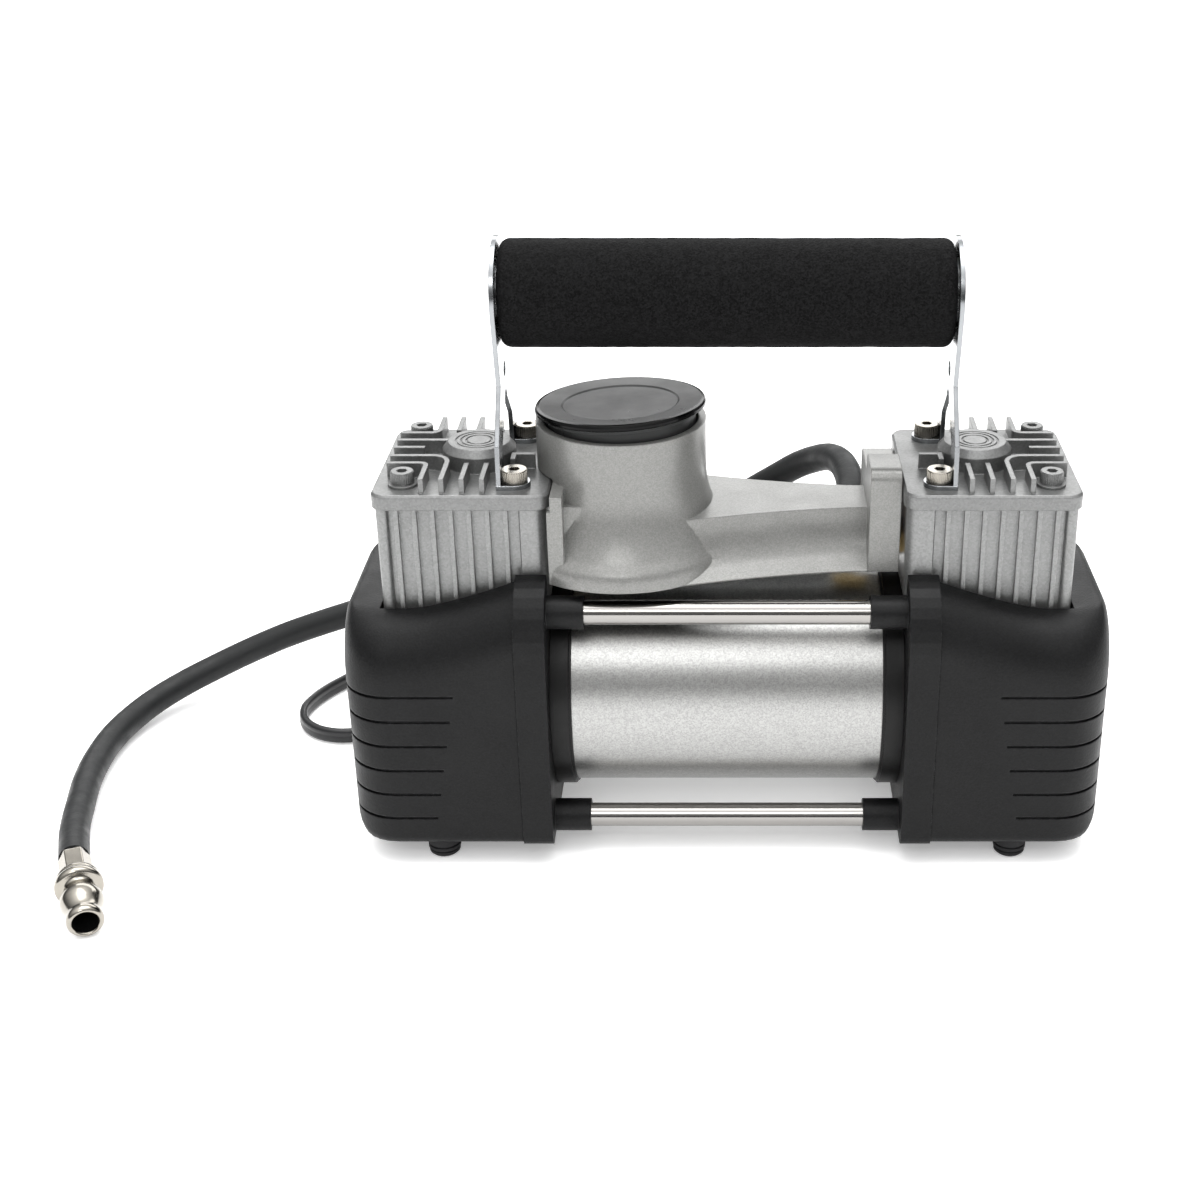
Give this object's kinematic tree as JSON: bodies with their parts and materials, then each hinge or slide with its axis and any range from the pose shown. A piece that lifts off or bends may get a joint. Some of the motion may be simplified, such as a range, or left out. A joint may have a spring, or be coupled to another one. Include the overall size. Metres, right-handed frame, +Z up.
{
  "type": "portable air compressor",
  "caption": "Portable 12 V air compressor: motor between two finned piston cylinders in black end casings, with foam grip, air hose and power lead.",
  "frame": {"origin": "floor level, under the middle of the machine without its cord, hose and hank", "axes": "+X along the motor to the right casing, +Y away from the viewer to the side with the switch, hose and power lead, +Z up"},
  "size_m": [0.36, 0.2457, 0.2022],
  "materials": {
    "casing": "fine textured black ABS",
    "rod": "polished plated steel rod",
    "screw": "zinc plated",
    "rubber": "matte black rubber",
    "casting": "die-cast aluminium, as cast",
    "block": "silver painted die-cast aluminium",
    "steel": "ground steel",
    "gasket": "pressed fibre and rubber",
    "silver_screw": "silver painted with the head",
    "nickel": "bright nickel plate",
    "can": "coarse silver sparkle paint",
    "magnet": "ferrite",
    "bell": "black painted",
    "phenolic": "phenolic board",
    "carbon": "carbon",
    "spring_steel": "spring wire",
    "cover": "silver metallic-flake ABS, semi-gloss",
    "aluminium_pipe": "drawn tube",
    "brass": "turned brass",
    "zinc": "bluish zinc plate",
    "foam": "closed-cell black foam",
    "black_plastic": "moulded black plastic",
    "cord": "black PVC sheath",
    "hose": "dark grey rubber",
    "cap": "satin black plastic with a glossy rim",
    "red_plastic": "glossy red plastic",
    "laminated_iron": "stamped iron laminations",
    "copper": "enamelled copper",
    "ptfe": "filled PTFE"
  },
  "bodies": {
    "machine": {"casing_shell_left": "casing", "casing_shell_right": "casing", "casing_plate_left": "casing", "casing_plate_right": "casing", "tie_rods": "rod", "tie_rod_screws": "screw", "casing_screws": "screw", "rubber_feet": "rubber", "crankcases": "casting", "cylinder_block_left": "block", "cylinder_block_right": "block", "cylinder_sleeves": "steel", "valve_plates": "steel", "reed_valves": "steel", "head_gaskets": "gasket", "cylinder_head_left": "block", "cylinder_head_right": "block", "outer_head_screws": "silver_screw", "inner_head_screws": "nickel", "motor_can": "can", "field_magnets": "magnet", "end_bells": "bell", "shaft_bearings": "steel", "brush_plate": "phenolic", "carbon_brushes": "carbon", "brush_springs": "spring_steel", "manifold_cover": "cover", "manifold_pipe": "aluminium_pipe", "manifold_nuts": "brass", "outlet_tee": "brass", "handle_bracket_left": "zinc", "handle_bracket_right": "zinc", "handle_tube": "steel", "foam_grip": "foam", "handle_screws": "zinc", "switch_housing": "black_plastic", "strain_relief": "rubber", "power_cord": "cord", "cord_hank": "cord", "cord_tie": "black_plastic", "power_plug": "black_plastic", "air_hose": "hose", "hose_ferrule": "nickel", "quick_plug": "nickel"},
    "cap": {"gauge_port_cap": "cap"},
    "rocker": {"switch_rocker": "red_plastic"},
    "tip": {"plug_tip": "nickel"},
    "rotor": {"motor_shaft": "steel", "armature_core": "laminated_iron", "armature_windings": "copper", "commutator": "copper", "crank_discs": "steel"},
    "piston_left": {"connecting_rod_left": "casting", "piston_cup_left": "ptfe", "big_end_bearing_left": "steel", "crank_pin_left": "steel"},
    "piston_right": {"connecting_rod_right": "casting", "piston_cup_right": "ptfe", "big_end_bearing_right": "steel", "crank_pin_right": "steel"}
  },
  "joints": [
    {"name": "shaft_spin", "type": "hinge", "parent": "machine", "child": "rotor", "pos_m": [0, 0, 0.05], "axis": [1, 0, 0], "continuous": true},
    {"name": "piston_left_slide", "type": "slide", "parent": "machine", "child": "piston_left", "axis": [0, 0, 1], "range_m": [-0.013, 0]},
    {"name": "piston_right_slide", "type": "slide", "parent": "machine", "child": "piston_right", "axis": [0, 0, 1], "range_m": [0, 0.013]},
    {"name": "switch_tilt", "type": "hinge", "parent": "machine", "child": "rocker", "pos_m": [-0.0345, 0.035, 0.117], "axis": [1, 0, 0], "range_deg": [0, 16]},
    {"name": "cap_pull", "type": "slide", "parent": "machine", "child": "cap", "axis": [-0.0436, 0.0436, 0.9981], "range_m": [0, 0.016]},
    {"name": "tip_spring", "type": "slide", "parent": "machine", "child": "tip", "axis": [1, 0, 0], "range_m": [-0.004, 0]}
  ],
  "couplings": [
    {"joint": "piston_left_slide", "follows": "piston_right_slide", "ratio": -1}
  ]
}
